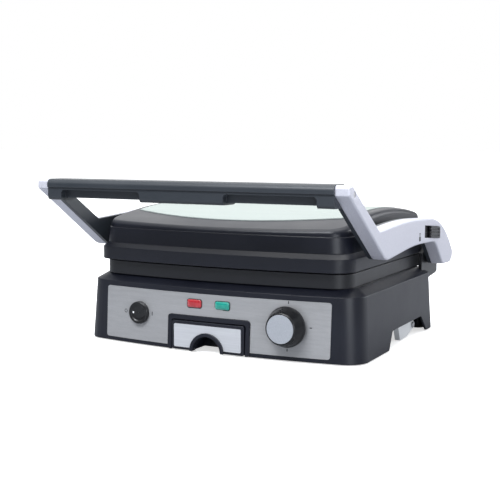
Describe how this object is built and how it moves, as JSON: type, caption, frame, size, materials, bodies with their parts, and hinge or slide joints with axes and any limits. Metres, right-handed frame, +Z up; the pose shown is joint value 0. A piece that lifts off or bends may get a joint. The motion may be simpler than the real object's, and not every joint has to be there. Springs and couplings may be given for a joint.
{
  "type": "panini press",
  "caption": "Contact grill with a floating ribbed lid hung between two curved arms, a front handle bar, a stainless control front, a drip tray and folding tilt feet.",
  "frame": {"origin": "on the table, under the middle of the whole closed grill", "axes": "+Z up, -Y towards the user and the controls, +X to the user's right; X = 0 is the centre plane"},
  "size_m": [0.3576, 0.3575, 0.1825],
  "materials": {
    "black_body": "textured matte charcoal plastic",
    "stainless": "brushed stainless sheet",
    "top_panel": "pale brushed metal sheet",
    "silver_paint": "satin silver paint on a die casting",
    "handle_black": "satin black grip plastic",
    "knob_black": "semi-gloss black plastic",
    "knob_silver": "silver-painted knob cap",
    "white_mark": "white inlaid dot",
    "red_lens": "translucent red lens",
    "green_lens": "translucent green lens",
    "plate_cast": "dark non-stick coating on a die casting",
    "steel": "plain zinc-plated steel",
    "reflector": "bright aluminised sheet",
    "element": "dark heat-treated sheath",
    "neon": "small glow lamp",
    "electrical": "cream phenolic",
    "rubber": "soft black rubber",
    "grey_plastic": "light grey plastic"
  },
  "bodies": {
    "base": {"base_housing": "black_body", "bottom_cover": "black_body", "front_fascia": "stainless", "red_lamp_lens": "red_lens", "green_lamp_lens": "green_lens", "neon_lamps": "neon", "power_switch": "electrical", "thermostat": "electrical", "hinge_brackets": "knob_black", "bracket_screws": "steel", "hinge_pins": "steel", "rear_rest_pads": "grey_plastic", "cord_gland": "rubber", "rubber_feet": "rubber", "cover_screws": "steel", "tray_rails": "black_body", "terminal_block": "electrical", "lower_plate": "plate_cast", "lower_heating_element": "element", "lower_heat_reflector": "reflector", "grease_chute": "steel", "thermal_fuse": "electrical", "tilt_foot_pins": "steel"},
    "arms": {"right_arm_cover": "silver_paint", "left_arm_cover": "silver_paint", "right_arm_liner": "handle_black", "left_arm_liner": "handle_black", "handle_grip_top": "handle_black", "handle_grip_bottom": "handle_black", "handle_core": "steel", "arm_screws": "steel", "lid_pivot_pins": "steel", "lock_slot_plate": "knob_black"},
    "lid": {"lid_cover": "black_body", "lid_rim": "black_body", "lid_top_panel": "top_panel", "lid_pivot_bushes": "knob_black", "upper_plate": "plate_cast", "upper_heating_element": "element", "upper_heat_reflector": "reflector"},
    "power_knob": {"power_knob": "knob_black", "power_knob_dot": "white_mark"},
    "thermostat_knob": {"thermostat_knob": "knob_black", "thermostat_knob_cap": "knob_silver"},
    "drip_tray": {"drip_tray": "black_body", "tray_front": "black_body", "tray_trim_plate": "stainless"},
    "lock_button": {"lock_button": "knob_black"},
    "right_tilt_foot": {"right_tilt_foot": "grey_plastic"},
    "left_tilt_foot": {"left_tilt_foot": "grey_plastic"}
  },
  "joints": [
    {"name": "arm_hinge", "type": "hinge", "parent": "base", "child": "arms", "pos_m": [0, 0.151, 0.0919], "axis": [-1, 0, 0], "range_deg": [0, 180]},
    {"name": "lid_pivot", "type": "hinge", "parent": "arms", "child": "lid", "pos_m": [0, 0.012, 0.121], "axis": [1, 0, 0], "range_deg": [-0.7, 0.7]},
    {"name": "power_knob_turn", "type": "hinge", "parent": "base", "child": "power_knob", "pos_m": [-0.0876, -0.118, 0.0364], "axis": [0, 1, 0], "range_deg": [0, 90]},
    {"name": "thermostat_knob_turn", "type": "hinge", "parent": "base", "child": "thermostat_knob", "pos_m": [0.0903, -0.118, 0.0364], "axis": [0, 1, 0], "range_deg": [0, 270]},
    {"name": "lock_slide", "type": "slide", "parent": "arms", "child": "lock_button", "axis": [0, -0.9962, 0.0872], "range_m": [0, 0.018]},
    {"name": "drip_tray_slide", "type": "slide", "parent": "base", "child": "drip_tray", "axis": [0, -1, 0], "range_m": [0, 0.17]},
    {"name": "right_tilt_foot_fold", "type": "hinge", "parent": "base", "child": "right_tilt_foot", "pos_m": [0.155, 0.079, 0.0124], "axis": [1, 0, 0], "range_deg": [0, 90]},
    {"name": "left_tilt_foot_fold", "type": "hinge", "parent": "base", "child": "left_tilt_foot", "pos_m": [-0.155, 0.079, 0.0124], "axis": [1, 0, 0], "range_deg": [0, 90]}
  ]
}
